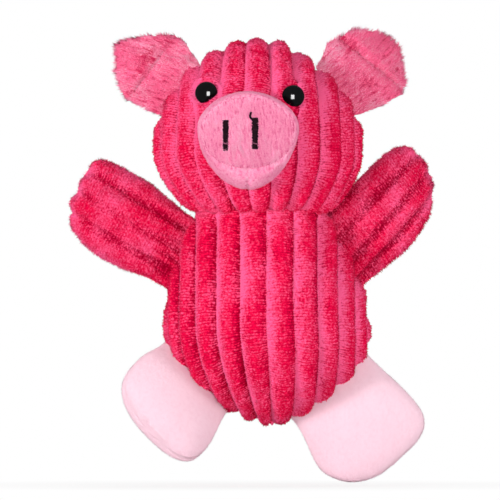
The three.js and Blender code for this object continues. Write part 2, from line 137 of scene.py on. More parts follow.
def corner_value(cells, seed):
    """A fixed random value from -1 to 1 for each corner of a lattice."""
    mixed = sum(cells[..., k].astype(np.int64) * HASH[k] for k in range(cells.shape[-1]))
    mixed = (mixed + seed * HASH[3]) & LOW_BITS
    mixed = ((mixed ^ (mixed >> 13)) * HASH[3]) & LOW_BITS
    return ((mixed ^ (mixed >> 16)) & 0xFFFF) / 32767.5 - 1


def noise(places, cell, seed=0):
    """Smooth noise from -1 to 1 at each place, with features about one cell across."""
    at = np.asarray(places, float) / np.asarray(cell, float)
    low = np.floor(at)
    part = ease(at - low)
    total = 0.0
    axes = at.shape[-1]
    for corner in range(2 ** axes):
        step = np.array([(corner >> k) & 1 for k in range(axes)])
        weight = np.prod(np.where(step, part, 1 - part), axis=-1)
        total = total + weight * corner_value(low + step, seed + SEED)
    return total


def rough_noise(places, cell, seed):
    """Noise with finer and weaker noise added to it."""
    return noise(places, cell, seed) + 0.5 * noise(places, np.asarray(cell) / 2, seed + 17)


def ease(value):
    """A smooth step from 0 to 1."""
    value = np.clip(value, 0, 1)
    return value * value * (3 - 2 * value)


def bump_at(value, centre, width):
    """A smooth hump of height 1 at a centre."""
    return np.exp(-(((value - centre) / width) ** 2))


def unit(vectors):
    """Vectors at a length of 1."""
    return vectors / np.maximum(np.linalg.norm(vectors, axis=-1, keepdims=True), 1e-9)


# Meshes

# From the pig's own place to the frame, in metres
SHIFT = np.array(JOINTS["neck_nod"]["pos_m"]) - np.array([NECK_X, 0, NECK_HEIGHT]) * MM


def to_frame(points):
    """Points of the pig's own place, in millimetres, as metres in the frame."""
    return np.asarray(points, float) * MM + SHIFT


def from_frame(point):
    """A point of the frame, in metres, as millimetres in the pig's own place."""
    return (np.asarray(point, float) - SHIFT) / MM


def mesh_object(name, points, groups, material, attributes=None, normals=None):
    """A smooth mesh of points in millimetres in the pig's own place, and of groups of faces, each an array of
    corners. Attributes are one number to a point."""
    mesh = bpy.data.meshes.new(name)
    points = to_frame(points).reshape(-1, 3)
    corners = np.concatenate([group.ravel() for group in groups]).astype(np.int32)
    sizes = np.concatenate([np.full(len(group), group.shape[1]) for group in groups])
    mesh.vertices.add(len(points))
    mesh.vertices.foreach_set("co", points.astype(np.float32).ravel())
    mesh.loops.add(len(corners))
    mesh.loops.foreach_set("vertex_index", corners)
    mesh.polygons.add(len(sizes))
    mesh.polygons.foreach_set("loop_start", (np.cumsum(sizes) - sizes).astype(np.int32))
    mesh.polygons.foreach_set("use_smooth", np.full(len(sizes), True))
    mesh.update(calc_edges=True)
    mesh.validate()
    for key, values in (attributes or {}).items():
        layer = mesh.attributes.new(key, "FLOAT", "POINT")
        layer.data.foreach_set("value", np.asarray(values, np.float32).ravel())
    if normals is not None:
        mesh.normals_split_custom_set_from_vertices(np.asarray(normals, np.float32))
    mesh.materials.append(material)
    thing = bpy.data.objects.new(name, mesh)
    bpy.context.collection.objects.link(thing)
    return thing


def grid_faces(rows, columns, around=False):
    """The faces of a grid of points, row by row, closed around if its last column meets its first."""
    last = columns if around else columns - 1
    row, column = np.meshgrid(np.arange(rows - 1), np.arange(last), indexing="ij")
    following = (column + 1) % columns
    low, high = row * columns, (row + 1) * columns
    return np.stack([low + column, low + following, high + following, high + column], -1).reshape(-1, 4)


def grid_normals(points, around=False):
    """The outward normal of each point of a grid whose rows go up and whose columns go round."""
    if around:
        across = np.roll(points, -1, 1) - np.roll(points, 1, 1)
    else:
        across = np.gradient(points, axis=1)
    return unit(np.cross(across, np.gradient(points, axis=0)))


# Finishes

class Wire:
    """A socket that feeds others, written in sums."""

    def __init__(self, finish, socket):
        self.finish = finish
        self.socket = socket

    def worked(self, operation, *values):
        return self.finish.node("ShaderNodeMath", {"operation": operation}, dict(enumerate(values)))

    def __add__(self, other):
        return self.worked("ADD", self, other)

    def __sub__(self, other):
        return self.worked("SUBTRACT", self, other)

    def __rsub__(self, other):
        return self.worked("SUBTRACT", other, self)

    def __mul__(self, other):
        return self.worked("MULTIPLY", self, other)

    __radd__ = __add__
    __rmul__ = __mul__

    def held(self):
        """The value kept from 0 to 1."""
        return self.finish.node("ShaderNodeClamp", {}, {"Value": self})


def ink(red, green, blue):
    """A colour as it is seen on a screen, from 0 to 255, as a shader takes it."""
    shares = (value / 255 for value in (red, green, blue))
    return tuple(v / 12.92 if v <= 0.04045 else ((v + 0.055) / 1.055) ** 2.4 for v in shares) + (1.0,)


class Finish:
    """The nodes of a material or of the world."""

    def __init__(self, owner):
        owner.use_nodes = True
        self.owner = owner
        self.tree = owner.node_tree
        self.tree.nodes.clear()

    def node(self, kind, settings=None, values=None, out=0):
        """A node by its type, its settings and the values or wires of its sockets. Gives an output of it."""
        node = self.tree.nodes.new(kind)
        for key, value in (settings or {}).items():
            setattr(node, key, value)
        for key, value in (values or {}).items():
            if isinstance(value, Wire):
                self.tree.links.new(value.socket, node.inputs[key])
            else:
                node.inputs[key].default_value = value
        return Wire(self, node.outputs[out]) if node.outputs else None

    def stored(self, name):
        """A number kept at each point of the mesh."""
        return self.node("ShaderNodeAttribute", {"attribute_name": name}, out="Fac")

    def place(self):
        """The place on the object, in metres."""
        return self.node("ShaderNodeTexCoord", out="Object")

    def grain(self, size, detail=3.0, stretch=(1, 1, 1)):
        """Noise about 0.5 with features of a size in metres."""
        scaled = self.node("ShaderNodeVectorMath", {"operation": "MULTIPLY"}, {0: self.place(), 1: stretch})
        return self.node("ShaderNodeTexNoise", {}, {"Vector": scaled, "Scale": 1 / size, "Detail": detail})

    def between(self, factor, low, high):
        """A colour between two."""
        return self.node("ShaderNodeMix", {"data_type": "RGBA"}, {0: factor, 6: low, 7: high}, out=2)

    def raised(self, height, distance, strength=1.0):
        """A normal from a height."""
        return self.node("ShaderNodeBump", {}, {"Height": height, "Distance": distance, "Strength": strength})

    def shaded(self, values):
        """The material, with the values and wires of its shader."""
        shader = self.node("ShaderNodeBsdfPrincipled", {}, values)
        self.node("ShaderNodeOutputMaterial", {}, {"Surface": shader})
        return self.owner


def new_finish(name):
    return Finish(bpy.data.materials.new(name))


def plush_finish(name, deep, middle, crest, fibre, relief, sheen, sheen_tint, lively=1.0):
    """Short pile with painted shade in its grooves and between tufts, and painted light on its tips and lit
    sides.
    """
    finish = new_finish(name)
    groove, tuft, brushed = (finish.stored(mark) for mark in ("groove", "tuft", "brushed"))
    fibres = finish.grain(fibre, 4.0)
    nap = finish.grain(0.01, 4.0, (1, 1, 0.5))
    # Painted light on tuft tips and lit sides, over the nap's own uneven tone
    lift = ((nap - 0.5) * 2.0 + (tuft - 0.5) * 1.3 + (fibres - 0.5) * 2.2) * lively
    lift = lift + brushed * (0.3 + groove * 0.9)
    # Painted shade in grooves, on unlit sides and between tufts, over the nap's own uneven tone
    tuft_shade_and_nap = ((0.34 - tuft) * 2.0 + (0.5 - nap) * 1.3 + (0.45 - fibres) * 2) * lively
    shade = groove * (1 - brushed) * 1.05 + tuft_shade_and_nap
    body = finish.between(lift.held(), middle, crest)
    return finish.shaded({
        "Base Color": finish.between(shade.held(), body, deep),
        "Roughness": 0.86 + fibres * 0.14,
        "Normal": finish.raised(fibres + finish.grain(fibre * 2.7, 2.0) * 0.8, relief),
        "Specular IOR Level": 0.0,
        "Sheen Weight": sheen,
        "Sheen Roughness": 0.4,
        "Sheen Tint": sheen_tint,
    })


# Each pile's colour in painted shade, its own colour, and its colour in painted light
CORDUROY = plush_finish(
    "corduroy_pile", ink(156, 0, 40), ink(236, 8, 70), ink(255, 102, 155),
    fibre=0.0008, relief=0.0004, sheen=0.1, sheen_tint=ink(255, 150, 185), lively=0.9,
)
EAR_PLUSH = plush_finish(
    "ear_pile", ink(204, 32, 80), ink(252, 106, 150), ink(255, 186, 212),
    fibre=0.0005, relief=0.0003, sheen=0.03, sheen_tint=ink(255, 190, 210), lively=1.1,
)
SNOUT_PLUSH = plush_finish(
    "snout_pile", ink(216, 84, 128), ink(241, 138, 174), ink(248, 176, 203),
    fibre=0.0006, relief=0.0002, sheen=0.02, sheen_tint=ink(255, 190, 212), lively=0.8,
)
FOOT_PLUSH = plush_finish(
    "foot_pile", ink(237, 196, 210), ink(244, 208, 221), ink(248, 216, 228),
    fibre=0.0006, relief=0.0001, sheen=0.05, sheen_tint=ink(255, 240, 246), lively=0.35,
)


# Cloth over a stuffed form

def rounded(along, roundness):
    """How far an outline reaches at a share of the way from its widest place to its end."""
    return np.maximum(0, 1 - np.clip(along, 0, 1) ** roundness) ** (1 / roundness)


def loop_angles(columns):
    """The front panel from left to right and then the back one from right to left, as angles."""
    return np.linspace(-math.pi / 2, 3 * math.pi / 2, 2 * columns + 1)[:-1]


def rows_toward_end(rows, fine):
    """Shares from 0 to 1, closer together towards 1."""
    share = np.linspace(0, 1, rows + 1)
    return fine * np.sin(share * math.pi / 2) + (1 - fine) * share


def run_of(points):
    """How far each point of a grid lies along its column, in millimetres."""
    steps = np.linalg.norm(np.diff(points, axis=0), axis=-1)
    return np.vstack([np.zeros(points.shape[1]), np.cumsum(steps, axis=0)])


def corduroy(points, phase, run, depth, seed, squareness=WALE_SQUARENESS):
    """Wales with rows of tufts, where phase counts the wales and run goes along them: how far the pile stands
    from its crest line, and its marks. They say how deep it lies in a groove, which is painted in shade, how
    near the top of a tuft, and how much painted light it takes: lit on each wale's left flank, shaded on its
    right."""
    number = np.floor(phase)
    across = phase - number
    uneven = noise(points, 11.0, seed + 3)
    wale = np.abs(np.sin(np.pi * phase)) ** squareness
    crowd = noise(np.stack([number * 7.3, run / 14], -1), 1.0, seed + 5)
    row = run / TUFT_PITCH + 0.5 * corner_value(number[..., None], seed) + 0.5 * noise(points, 2.4, seed + 7)
    column = across * TUFTS_ACROSS + 0.35 * noise(points, 2.0, seed + 9)
    column = column + 0.5 * corner_value(np.stack([np.floor(row), number], -1), seed + 10)
    knot = np.abs(np.sin(np.pi * row)) ** 0.7 * (0.45 + 0.55 * np.abs(np.sin(np.pi * column)) ** 0.7)
    chance = corner_value(np.stack([np.floor(row), np.floor(column), number], -1), seed + 11)
    tuft = np.clip(knot * (0.8 + 0.3 * chance), 0, 1)
    tight = 1 + 0.3 * corner_value(np.round(phase)[..., None], seed + 12) + 0.2 * uneven
    relief = -depth * (1 - wale) * tight + 0.35 * crowd * wale + 0.3 * uneven
    relief = relief + TUFT_HEIGHT * (2 * tuft - 1) * (0.35 + 0.65 * wale)
    marks = {
        "groove": np.clip((1 - wale) ** 0.85 * tight, 0, 1.2),
        "tuft": tuft,
        "brushed": 0.5 + 0.5 * np.cos(np.pi * np.clip(across * 1.1 - 0.05, 0, 1)),
    }
    return relief + 0.1 * noise(points, 0.7, seed + 13), marks


def short_pile(points, seed, lump, comb, strand):
    """Smooth pile without wales, combed one way in strands of a width and a length: how far it stands out,
    and its marks."""
    lumps = rough_noise(points, 10.0, seed)
    way = unit(np.array(comb))
    over = points @ np.array([-way[2], 0, way[0]]) + 0.3 * noise(points, 5.0, seed + 2)
    combed = np.stack([over, points @ way, points[..., 1]], -1)
    width, length = strand
    fine = rough_noise(combed, (width, length, width * 2), seed + 5)
    marks = {
        "groove": np.zeros(fine.shape),
        # Low marks between strands are painted in shade
        "tuft": np.clip(0.55 + 0.8 * fine, 0, 1),
        "brushed": 0.5 + 0.3 * lumps,
    }
    return lump * lumps + 0.16 * fine, marks


def with_painted_shade(marks, groove):
    """Marks with painted shade added to them, as in a groove."""
    return marks | {"groove": np.maximum(marks["groove"], groove)}


def seam_line(relief, marks, distance, width, depth, dark=0.7):
    """A sewn line that pulls the pile in, with shade painted along it."""
    pull = bump_at(distance, 0, width)
    return relief * (1 - 0.75 * pull) - depth * pull, with_painted_shade(marks, dark * pull)


@dataclass
class Pile:
    """How pile stands on a cloth, in millimetres: how many tufts to a square, how long and wide each is, the
    way they are combed, how far they stray from it alone and in clumps of a size, how open they are to light,
    how far they rise, how they gather where the cloth is knotted, and how mixed their tips are."""
    dense: float
    length: float
    width: float
    comb: tuple
    stray: float
    clump: float
    clump_size: float
    lit: float
    rise: float = 1.0
    gather: float = 0.0
    mixed: float = 0.35
    forward: bool = False


@dataclass
class Cloth:
    """A cloth's finish, its slot, which is not used, and its pile."""
    finish: bpy.types.Material
    slot: str
    pile: Pile


EAR_COMBS = {"left": (-0.85, 0.0, 0.3), "right": (0.7, 0.0, 0.6)}
SNOUT_COMB = (0.12, 0.0, -0.9)
BODY_CLOTH = Cloth(CORDUROY, "corduroy", Pile(
    dense=1.8, length=0.75, width=0.34, comb=(0, 0, -0.3), stray=0.4, clump=0.5, clump_size=1.2, lit=0.4,
    gather=3.0,
))
ARM_CLOTH = Cloth(CORDUROY, "corduroy", Pile(
    dense=2.6, length=1.25, width=0.3, comb=(0, 0, -0.2), stray=0.4, clump=0.6, clump_size=1.6, lit=0.7,
    gather=1.5,
))
EAR_CLOTHS = {
    side: Cloth(EAR_PLUSH, "ear_plush", Pile(
        dense=4.5, length=2.1, width=0.3, comb=EAR_COMBS[side], stray=0.14, clump=0.5, clump_size=3.2,
        lit=0.9, rise=0.4, gather=2.0, mixed=0.55,
    ))
    for side in SIDES
}
FACE_CLOTH = Cloth(SNOUT_PLUSH, "snout_plush", Pile(
    dense=5.0, length=1.1, width=0.24, comb=SNOUT_COMB, stray=0.14, clump=0.25, clump_size=1.6, lit=2.0,
    rise=0.35, gather=1.5, forward=True,
))
BAND_CLOTH = Cloth(SNOUT_PLUSH, "snout_plush", Pile(
    dense=4.0, length=0.5, width=0.2, comb=SNOUT_COMB, stray=0.14, clump=0.2, clump_size=1.6, lit=1.8,
    rise=0.3, gather=1.5, forward=True,
))
FOOT_CLOTH = Cloth(FOOT_PLUSH, "foot_plush", Pile(
    dense=5.0, length=0.5, width=0.22, comb=(0, 0, -0.4), stray=0.3, clump=0.15, clump_size=2.0, lit=0.9,
    rise=0.7,
))
# How far below the cloth a tuft is rooted, the least that it rises from it, and its root's mark for painted
# shade
ROOTED, LEAST_RISE, SHADED_ROOT_TUFT = 0.12, 0.15, 0.1


def lit_way(normal, pile):
    """The way that pile faces the light. Light comes in between its tips, so a form of deep pile looks
    flatter than its cloth: each panel turns to its own side, and the whole snout to the front."""
    ahead = -1.0 if pile.forward else np.tanh(5 * normal[..., 1:2])
    return unit(normal + pile.lit * ahead * np.array([0.0, 1.0, 0.0]))


def cell_corners(grid):
    """The four corners of each cell of a grid."""
    return grid[:-1, :-1], grid[:-1, 1:], grid[1:, 1:], grid[1:, :-1]


def tufts_on(points, marks, pile, seed):
    """Tufts rooted on a grid of points, more of them where the cloth is knotted, each a slim three-sided
    spike. Gives their points, faces, marks and normals."""
    normal = grid_normals(points)
    a, b, c, d = cell_corners(points)
    area = np.linalg.norm(np.cross(c - a, d - b), axis=-1).ravel() / 2
    count = int(area.sum() * pile.dense * (1))
    knot = sum(cell_corners(marks["tuft"])).ravel() / 4
    whole = np.cumsum(area * (0.12 + knot ** pile.gather))
    chance = np.random.default_rng(SEED + seed)
    cell = np.searchsorted(whole, (np.arange(count) + chance.random(count)) / count * whole[-1])
    row, column = np.divmod(np.minimum(cell, len(area) - 1), points.shape[1] - 1)
    u, v = chance.random((2, count, 1))

    def between(grid):
        low = grid[row, column] * (1 - u) + grid[row, column + 1] * u
        high = grid[row + 1, column] * (1 - u) + grid[row + 1, column + 1] * u
        return low * (1 - v) + high * v

    root, up = between(points), between(normal)
    lying = {key: between(values[..., None])[:, 0] for key, values in marks.items()}
    clump = np.stack([noise(root, pile.clump_size, seed + k) for k in range(3)], -1)
    axis = up * pile.rise + pile.comb + pile.clump * clump + pile.stray * chance.normal(size=(count, 3))
    axis = unit(axis - up * np.minimum(0, (axis * up).sum(1, keepdims=True) - LEAST_RISE))
    length = pile.length * (0.55 + 0.75 * chance.random((count, 1))) * (1 - 0.35 * lying["groove"][:, None])
    wide = pile.width * (0.7 + 0.6 * chance.random((count, 1)))
    first = unit(np.cross(axis, [0.31, 0.82, 0.47]))
    second = np.cross(axis, first)
    turn = chance.random((count, 1)) * 2 * math.pi
    turns = [turn + corner * 2 * math.pi / 3 for corner in range(3)]
    ring = [np.cos(angle) * first + np.sin(angle) * second for angle in turns]
    made = np.stack([root - up * ROOTED + wide / 1.7 * way for way in ring] + [root + axis * length], 1)
    number = np.arange(count)[:, None] * 4
    sides = ((0, 1, 3), (1, 2, 3), (2, 0, 3))
    faces = np.stack([number + np.array(side) for side in sides], 1).reshape(-1, 3)
    # Tips take painted light and roots painted shade
    tip = lying["tuft"] * 0.9 + 0.17 + pile.mixed * (chance.random(count) - 0.5)
    grown = {key: np.repeat(values, 4) for key, values in lying.items()}
    grown["tuft"] = np.clip(np.stack([np.full(count, SHADED_ROOT_TUFT)] * 3 + [tip], 1), 0, 1).ravel()
    open_way = lit_way(up, pile)
    facing = unit(np.stack([open_way + 0.6 * way for way in ring] + [open_way + axis * 0.5], 1))
    return made.reshape(-1, 3), faces, grown, facing.reshape(-1, 3)


def piled_mesh(name, points, marks, cloth, seed):
    """A cloth with its tufts, in one mesh."""
    made, spikes, grown, facing = tufts_on(points, marks, cloth.pile, seed)
    rows, columns = points.shape[:2]
    piece = mesh_object(
        name,
        np.concatenate([points.reshape(-1, 3), made]),
        [grid_faces(rows, columns), spikes + rows * columns],
        cloth.finish,
        {key: np.concatenate([values.ravel(), grown[key]]) for key, values in marks.items()},
        np.concatenate([lit_way(grid_normals(points), cloth.pile).reshape(-1, 3), facing]),
    )
    return piece


def sewn_panels(name, base, relief, marks, cloth, seed):
    """The front and back panels of a closed cloth form, from a loop of columns."""
    points = base + grid_normals(base, around=True) * relief[..., None]
    count = base.shape[1] // 2
    made = []
    for panel, first in (("front", 0), ("back", count)):
        columns = (np.arange(count + 1) + first) % (2 * count)
        own = {key: values[:, columns] for key, values in marks.items()}
        made.append(piled_mesh(f"{name}_{panel}_panel", points[:, columns], own, cloth, seed + first))
    return made


def covering(name, panels):
    """Two panels in the place of a stuffed form's covers and filling."""
    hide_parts(f"{name}_cover_front", f"{name}_stuffing")
    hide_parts(f"{name}_cover_back")
    return panels


def arc_distance(angles, radius):
    """How far each column lies from the nearer side seam, in millimetres."""
    turn = np.abs((angles + math.pi / 2) % math.pi)
    return np.minimum(turn, math.pi - turn) * radius


# Torso and head

def half_sizes(full, is_end, shrunk, to_neck):
    """Half sizes that shrink from their full ones toward the form's end, and to those of the neck."""
    pairs = zip(full, NECK_HALF)
    return [np.where(is_end, half * shrunk, half + (neck - half) * to_neck) for half, neck in pairs]


def stuffed_loops(z, sizes, drawn, angles):
    """Loops of points at some heights, drawn in by a share, with their half width and centre."""
    width, depth, centre = (size[:, None] for size in sizes)
    drawn = drawn[:, None]
    width = width * drawn
    x = centre + width * np.sin(angles)
    y = -depth * drawn * np.cos(angles)
    return np.stack([x, y, np.broadcast_to(z[:, None], x.shape)], -1), width, centre


def side_seams(relief, marks, angles, narrowed):
    """The sewn lines down both sides, on a form that is narrowed to a share of its full width."""
    side = arc_distance(angles, 40) * np.sqrt(np.clip(narrowed, 0, 1))
    return seam_line(relief, marks, side, width=1.1, depth=1.5)


def torso_sizes(z):
    """The torso's half width, half depth and centre at a height."""
    shrunk = rounded((TORSO_WIDEST - z) / (TORSO_WIDEST - TORSO_BOTTOM), TORSO_ROUNDNESS)
    to_neck = np.clip((z - TORSO_WIDEST) / (NECK_HEIGHT - TORSO_WIDEST), 0, 1) ** 2
    centre = NECK_X + (TORSO_BOTTOM_X - NECK_X) * (NECK_HEIGHT - z) / (NECK_HEIGHT - TORSO_BOTTOM)
    return *half_sizes(TORSO_HALF, z < TORSO_WIDEST, shrunk, to_neck), centre


def make_torso():
    """Two panels of corduroy, sewn down both sides and tucked up into the head."""
    angles = loop_angles(counted(320))
    top = NECK_HEIGHT + TUCK
    z = (top + (TORSO_BOTTOM - top) * rows_toward_end(counted(300), 0.75))[::-1]
    tucked = 1 - TUCK_NARROWS * np.clip((z - NECK_HEIGHT) / TUCK, 0, 1) ** 2
    base, width, centre = stuffed_loops(z, torso_sizes(z), tucked, angles)
    x, height = base[..., 0], base[..., 2]
    kept = np.where(height > TORSO_WIDEST, 1, np.where(x < centre, *TORSO_WALES_KEPT))
    spread = TORSO_HALF[0] * kept + width * (1 - kept)
    over = np.arcsin(np.clip((x - np.maximum(centre, TORSO_WALES_X)) / spread, -1, 1)) / math.pi
    phase = WALES_ON_PANEL * over + 0.035 * noise(base, 20.0, 91)
    relief, marks = corduroy(base, phase, run_of(base), WALE_DEPTH, 20)
    # Painted light towards the bottom of the torso and on its left
    painted_light = 0.3 * ease((42 - height) / 14) + 0.08 * ease((TORSO_BOTTOM_X - x) / 20)
    marks["brushed"] = marks["brushed"] + painted_light
    relief, marks = side_seams(relief, marks, angles, width / TORSO_HALF[0])
    # Painted shade in the seam under the neck
    below_neck = np.maximum(0, NECK_HEIGHT - height)
    relief, marks = seam_line(relief, marks, below_neck, width=1.3, depth=0.9, dark=0.45)
    return covering("torso", sewn_panels("torso", base, relief, marks, BODY_CLOTH, 1001))


EYE_PLACES = {"left": (-18.4, 156.2), "right": (16.2, 154.8)}
# The cloth lies flat round an eye, and a lip of pile stands at its rim
EYE_FLAT, EYE_LIP, EYE_LIP_WIDTH = 7.4, 6.0, 1.0


def head_sizes(z):
    """The head's half width, half depth and centre at a height."""
    shrunk = rounded((z - HEAD_WIDEST) / (HEAD_TOP - HEAD_WIDEST), HEAD_ROUNDNESS)
    down = np.clip((HEAD_WIDEST - z) / (HEAD_WIDEST - NECK_HEIGHT), 0, 1)
    centre = HEAD_X + (NECK_X - HEAD_X) * down
    return *half_sizes(HEAD_HALF, z > HEAD_WIDEST, shrunk, down ** JAW_ROUNDNESS), centre


def head_front(x, z):
    """The y of the head's front at a place."""
    width, depth, centre = head_sizes(np.asarray(z, float))
    return -depth * np.sqrt(np.clip(1 - ((x - centre) / width) ** 2, 0, 1))


def make_head():
    """Two panels of corduroy, sewn down both sides and rolled in to the neck."""
    angles = loop_angles(counted(320))
    z = NECK_HEIGHT + (HEAD_TOP - NECK_HEIGHT) * rows_toward_end(counted(290), 0.7)
    rolled = 1 - ROLL_NARROWS * np.clip(1 - (z - NECK_HEIGHT) / ROLL, 0, 1) ** 2.5
    base, width, centre = stuffed_loops(z, head_sizes(z), rolled, angles)
    x, front, height = base[..., 0], base[..., 1] < 0, base[..., 2]
    crown = HEAD_HALF[0] * HEAD_SPREAD + width * (1 - HEAD_SPREAD)
    spread = np.where(z[:, None] < HEAD_WIDEST, width, crown)
    over = np.arcsin(np.clip((x - centre) / spread, -1, 1)) / math.pi
    phase = WALES_ON_PANEL * over + 0.5 + 0.04 * noise(base, 18.0, 191)
    run = run_of(base)
    height -= 2.0 * ease((x - HEAD_X - 8) / 18) * ease((height - 150) / 25)
    relief, marks = corduroy(base, phase, run, WALE_DEPTH, 120)
    above = height - NECK_HEIGHT
    relief = (relief + 0.5 * bump_at(above, 4, 4.0)) * (0.35 + 0.65 * ease((above + 1) / 3))
    height -= (0.6 * (1 - marks["groove"]) - 0.3 + 1.6 * noise(base, 15.0, 171)) * np.exp(-above / 5)
    relief, marks = side_seams(relief, marks, angles, width / HEAD_HALF[0])
    # Painted shade in the seam at the neck
    marks = with_painted_shade(marks, 0.5 * bump_at(above, 0, 0.9))
    # Painted light on the head's top and left, and painted shade on its right
    painted_light = 0.35 * ease((height - 140) / 18) + 0.55 * ease((HEAD_X - x) / 25)
    painted_light = painted_light - 0.15 * ease((x - HEAD_X - 10) / 20)
    marks["brushed"] = np.clip(marks["brushed"] + painted_light, 0, 1.3)
    for eye_x, eye_z in EYE_PLACES.values():
        near = np.exp(-((np.hypot(x - 1.08 * eye_x, height - eye_z) / EYE_FLAT) ** 4)) * front
        lip = bump_at(np.hypot(x - eye_x, height - eye_z), EYE_LIP, EYE_LIP_WIDTH) * front
        relief = relief * (1 - near) - 0.1 * near + lip
    return covering("head", sewn_panels("head", base, relief, marks, BODY_CLOTH, 1101))


# Arms and feet

class Limb:
    """The place of a limb: a point on its seam, the way it runs out and the way across it, with its length
    and how deep its root is sunk."""

    def __init__(self, joint, rise, length, sink, kick=0.0):
        self.point = from_frame(JOINTS[joint]["pos_m"])
        self.length, self.sink = length, sink
        flip = FLIP["left" if "left" in joint else "right"]
        rise = math.radians(rise)
        along = Vector((flip * math.cos(rise), 0, math.sin(rise)))
        across = Vector((along.z, 0, -along.x))
        turn = Matrix.Rotation(math.radians(kick), 3, across)
        ways = (along, across, Vector((0, 1, 0)))
        self.along, self.across, self.depth = (np.array(turn @ way) for way in ways)

    def at(self, along, across, depth):
        """A point by how far it lies along the limb, across it and behind its middle."""
        along, across, depth = (far[..., None] for far in (along, across, depth))
        return self.point + along * self.along + across * self.across + depth * self.depth


def limb_panels(name, limb, edges, thick, counts, relief_of, cloth, seed, fullness=1.0):
    """A limb of two panels, from its two edges and its half depth at each place along it, its counts of rows
    and columns, and its relief at each point."""
    rows, columns = counts
    angles = loop_angles(columns)
    along = -limb.sink + (limb.length + limb.sink) * rows_toward_end(rows, 0.7)[:, None]
    high, low, half = edges[0](along), edges[1](along), thick(along)
    turned = np.cos(angles)
    middle, wide = (high + low) / 2, (high - low) / 2
    across = middle + wide * np.sin(angles)
    along = np.broadcast_to(along, across.shape)
    base = limb.at(along, across, -half * np.sign(turned) * np.abs(turned) ** fullness)
    relief, marks = relief_of(base, along, across, high, low)
    side = arc_distance(angles, 1.0) * np.sqrt(wide ** 2 + half ** 2) / 1.4
    edge = np.minimum(side, (limb.length - along) * 3)
    relief, marks = seam_line(relief, marks, edge, width=0.8, depth=0.4, dark=0.0)
    return sewn_panels(name, base, relief, marks, cloth, seed + 900)


def sewn_edge(middle, reach, growth, grown, turns, end, roundness):
    """An edge of a limb, by how far across it lies. It reaches out from a middle, by a growth more where the
    limb is grown, turns in at a place and comes to an end."""
    def across(along):
        full = reach + growth * ease(along / grown)
        return middle + full * rounded((along - turns) / (end - turns), roundness)
    return across


def stuffed_depth(root, full, grown, turns, end, roundness):
    """A limb's half depth, from its root to where it is grown, rounded off from a place to its end."""
    def half(along):
        stuffed = root + (full - root) * np.sin(math.pi / 2 * np.clip(along / grown, 0, 1))
        return stuffed * rounded((along - turns) / (end - turns), roundness)
    return half


ARM_RISE = {"left": 29.4, "right": 41.0}
ARM_LENGTH = {"left": 48.0, "right": 47.2}
ARM_EDGES = {
    "left": (
        sewn_edge(5, 10.4, 3.0, 30, 30, ARM_LENGTH["left"], 5.5),
        sewn_edge(5, -20.8, -2.0, 24, 22, ARM_LENGTH["left"], 2.6),
    ),
    "right": (
        sewn_edge(-10, 24.9, 0, 1, 12, ARM_LENGTH["right"] - 0.2, 2.3),
        sewn_edge(-10, -8.0, -2.0, 34, 36, ARM_LENGTH["right"], 2.2),
    ),
}
# The grooves of each arm, by how far across they lie at its root and at its end
ARM_GROOVES = {
    "left": ((-8.6, -8.0), (0.2, 1.0), (9.6, 10.5)),
    "right": ((-6.2, -12.0), (4.2, -2.2), (11.6, 5.6)),
}
# Painted light on an arm's crests, and painted shadow near its root: how far across, how wide and how deep
ARM_PAINTED_LIGHT = {"left": 0.85, "right": 0.45}
ARM_SHADES = {"left": (9.0, 3.5, 0.7), "right": (-17.5, 4.5, 1.0)}
PAST_EDGE = 2.5


def make_arm(side):
    """Two panels of corduroy, whose wales run out along the arm and fold where it meets the torso."""
    length = ARM_LENGTH[side]
    limb = Limb(f"arm_{side}_swing", ARM_RISE[side], length, sink=6.0)
    seed = 300 + 50 * FLIP[side]
    thick = stuffed_depth(root=6.6, full=9.6, grown=32, turns=28, end=length, roundness=2.4)

    def relief_of(base, along, across, high, low):
        grooves = [root + (end - root) * (along / length) for root, end in ARM_GROOVES[side]]
        lines = [low - PAST_EDGE, *grooves, high + PAST_EDGE]
        wander = across + 0.5 * noise(base, 12.0, seed + 31)
        phase = sum(np.clip((wander - a) / np.maximum(b - a, 0.5), 0, 1) for a, b in zip(lines, lines[1:]))
        relief, marks = corduroy(base, phase, run_of(base), ARM_WALE_DEPTH, seed, squareness=1.0)
        fading = 1.2 - 0.4 * ease(along / 40) + 0.4 * noise(base, 12.0, seed + 47)
        marks["groove"] = np.cos(np.pi * phase) ** 2 * fading
        marks["tuft"] = 0.3 + 0.7 * marks["tuft"]

        # Painted shade in the folds at the root, and painted shadow from ARM_SHADES
        folded = ease(1 - along / 18)
        folds = 1 - np.abs(np.sin(across * 0.42 + 1.3 + 0.8 * noise(base, 9.0, seed + 41)))
        relief = relief - (1.5 * folds + 0.6) * folded
        centre, width, depth = ARM_SHADES[side]
        shade = depth * bump_at(across, centre, width) * (1 - ease((along - 16) / 18))
        marks = with_painted_shade(marks, np.maximum((0.3 + 0.8 * folds) * folded, shade))

        # Painted light on the crests and at the edges, less near the root and none in the painted shadow
        margin = np.minimum(np.minimum(high - across, across - low), length - along)
        crest = np.clip(1 - 1.15 * marks["groove"], 0, 1)
        painted_light = (ARM_PAINTED_LIGHT[side] + 0.4 * noise(base, 9.0, seed + 43)) * crest
        painted_light = painted_light + 0.8 * bump_at(margin, 0, 3.0)
        at_root = 1 - 0.75 * ease(1 - along / 24)
        marks["brushed"] = np.clip(painted_light, 0, 1.4) * at_root * (1 - np.clip(shade, 0, 1))
        return relief, marks

    counts = counted(150), counted(130)
    panels = limb_panels(f"arm_{side}", limb, ARM_EDGES[side], thick, counts, relief_of, ARM_CLOTH, seed)
    return limb, covering(f"arm_{side}", panels)


